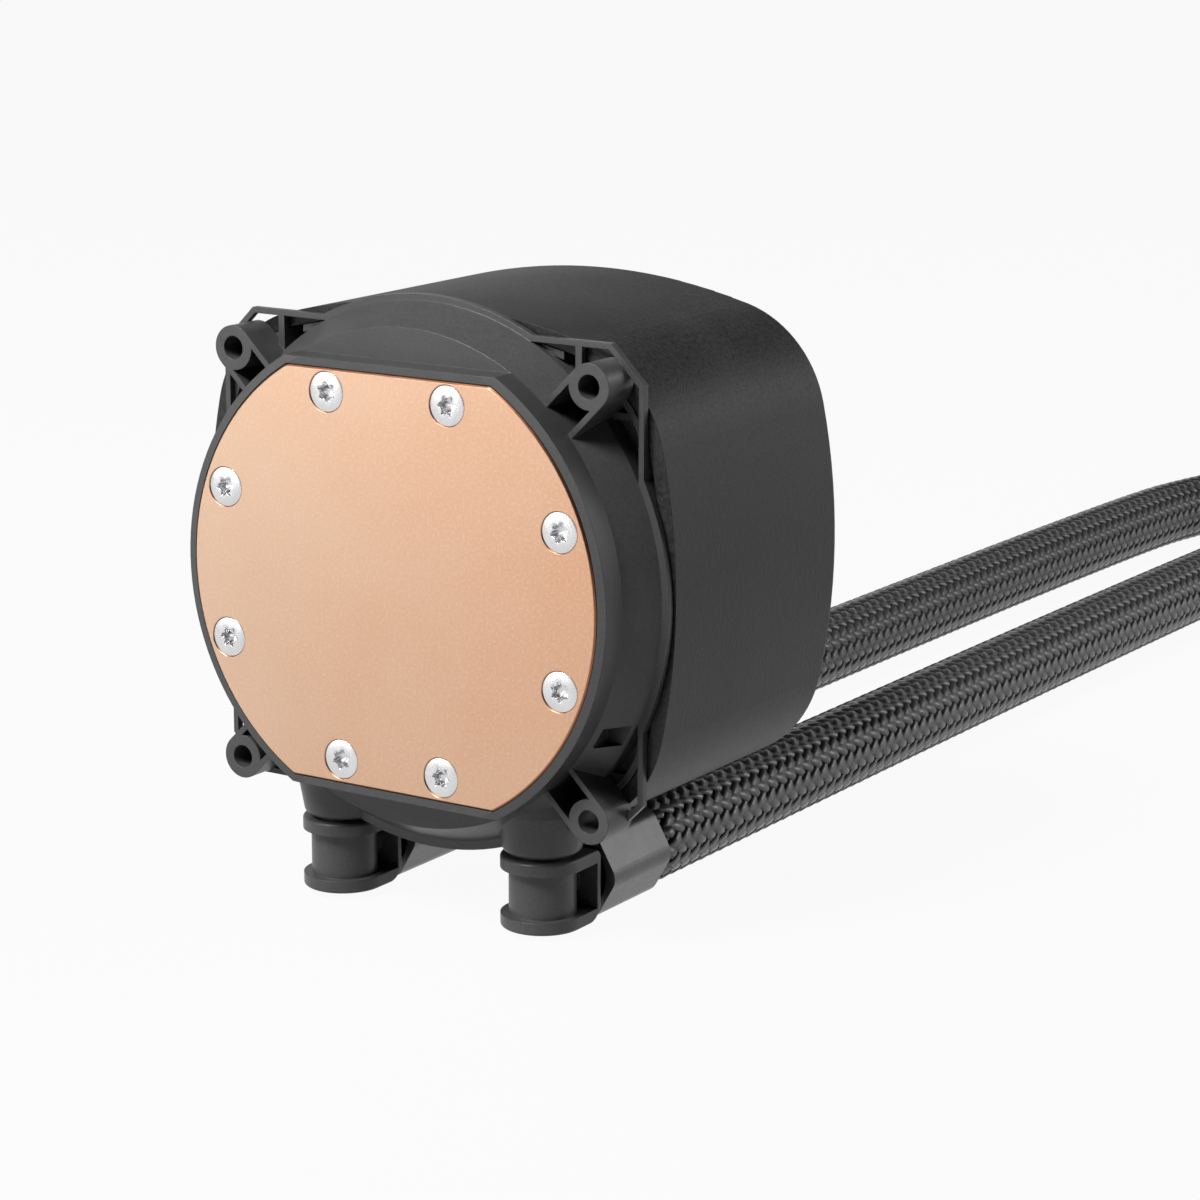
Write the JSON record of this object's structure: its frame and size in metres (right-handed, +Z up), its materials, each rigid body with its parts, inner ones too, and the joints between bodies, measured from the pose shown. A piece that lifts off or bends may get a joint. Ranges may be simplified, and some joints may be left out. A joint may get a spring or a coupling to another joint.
{
  "type": "all in one cpu liquid cooler",
  "caption": "Round-cornered pump head with a round copper cold plate in a framed, eared base and braided hoses on swivel fittings.",
  "frame": {"origin": "centre of the cold plate's contact face", "axes": "+X right and +Z up as the head stands in use, +Y from the contact face along the pump's axis to the closed end of the cover"},
  "size_m": [0.1229, 0.4036, 0.085],
  "materials": {
    "copper": "bead-blasted copper",
    "bright_screw": "bright turned steel",
    "seal_rubber": "smooth black rubber",
    "clear_plastic": "natural moulded plastic",
    "base_plastic": "satin black moulded plastic",
    "bush_ceramic": "polished bearing material",
    "magnet": "sintered magnet",
    "steel": "ground steel",
    "core_steel": "stacked steel sheets",
    "winding": "lacquered copper wire",
    "board": "green circuit board",
    "chip": "black moulding compound",
    "cover_plastic": "fine-grained black plastic",
    "cap_gloss": "polished black plastic",
    "sleeve_metal": "satin black anodised aluminium",
    "braid": "rubber hose in a black braided sleeve"
  },
  "bodies": {
    "pump_head": {"cold_plate": "copper", "plate_screws": "bright_screw", "plate_seal": "seal_rubber", "jet_plate": "clear_plastic", "pump_base": "base_plastic", "front_bush": "bush_ceramic", "rear_bush": "bush_ceramic", "rotor_can": "clear_plastic", "can_screws": "steel", "stator_core": "core_steel", "stator_coils": "winding", "stator_spacer": "clear_plastic", "circuit_board": "board", "board_parts": "chip", "cover_shell": "cover_plastic", "cable_grommet": "seal_rubber", "end_cap": "cap_gloss", "swivel_clip_right": "steel", "swivel_clip_left": "steel"},
    "rotor": {"impeller": "clear_plastic", "rotor_magnet": "magnet", "rotor_shaft": "steel"},
    "hose_group_right": {"swivel_right": "base_plastic", "swivel_seals_right": "seal_rubber", "crimp_sleeve_right": "sleeve_metal", "hose_right": "braid", "end_sleeve_right": "sleeve_metal", "end_fitting_right": "base_plastic"},
    "hose_group_left": {"swivel_left": "base_plastic", "swivel_seals_left": "seal_rubber", "crimp_sleeve_left": "sleeve_metal", "hose_left": "braid", "end_sleeve_left": "sleeve_metal", "end_fitting_left": "base_plastic"}
  },
  "joints": [
    {"name": "rotor_spin", "type": "hinge", "parent": "pump_head", "child": "rotor", "pos_m": [0, 0.02, 0], "axis": [0, 1, 0], "continuous": true},
    {"name": "right_swivel", "type": "hinge", "parent": "pump_head", "child": "hose_group_right", "pos_m": [0.0166, 0.0115, -0.0414], "axis": [0, 0, -1], "range_deg": [0, 90]},
    {"name": "left_swivel", "type": "hinge", "parent": "pump_head", "child": "hose_group_left", "pos_m": [-0.0166, 0.0115, -0.0414], "axis": [0, 0, 1], "range_deg": [0, 90]}
  ]
}
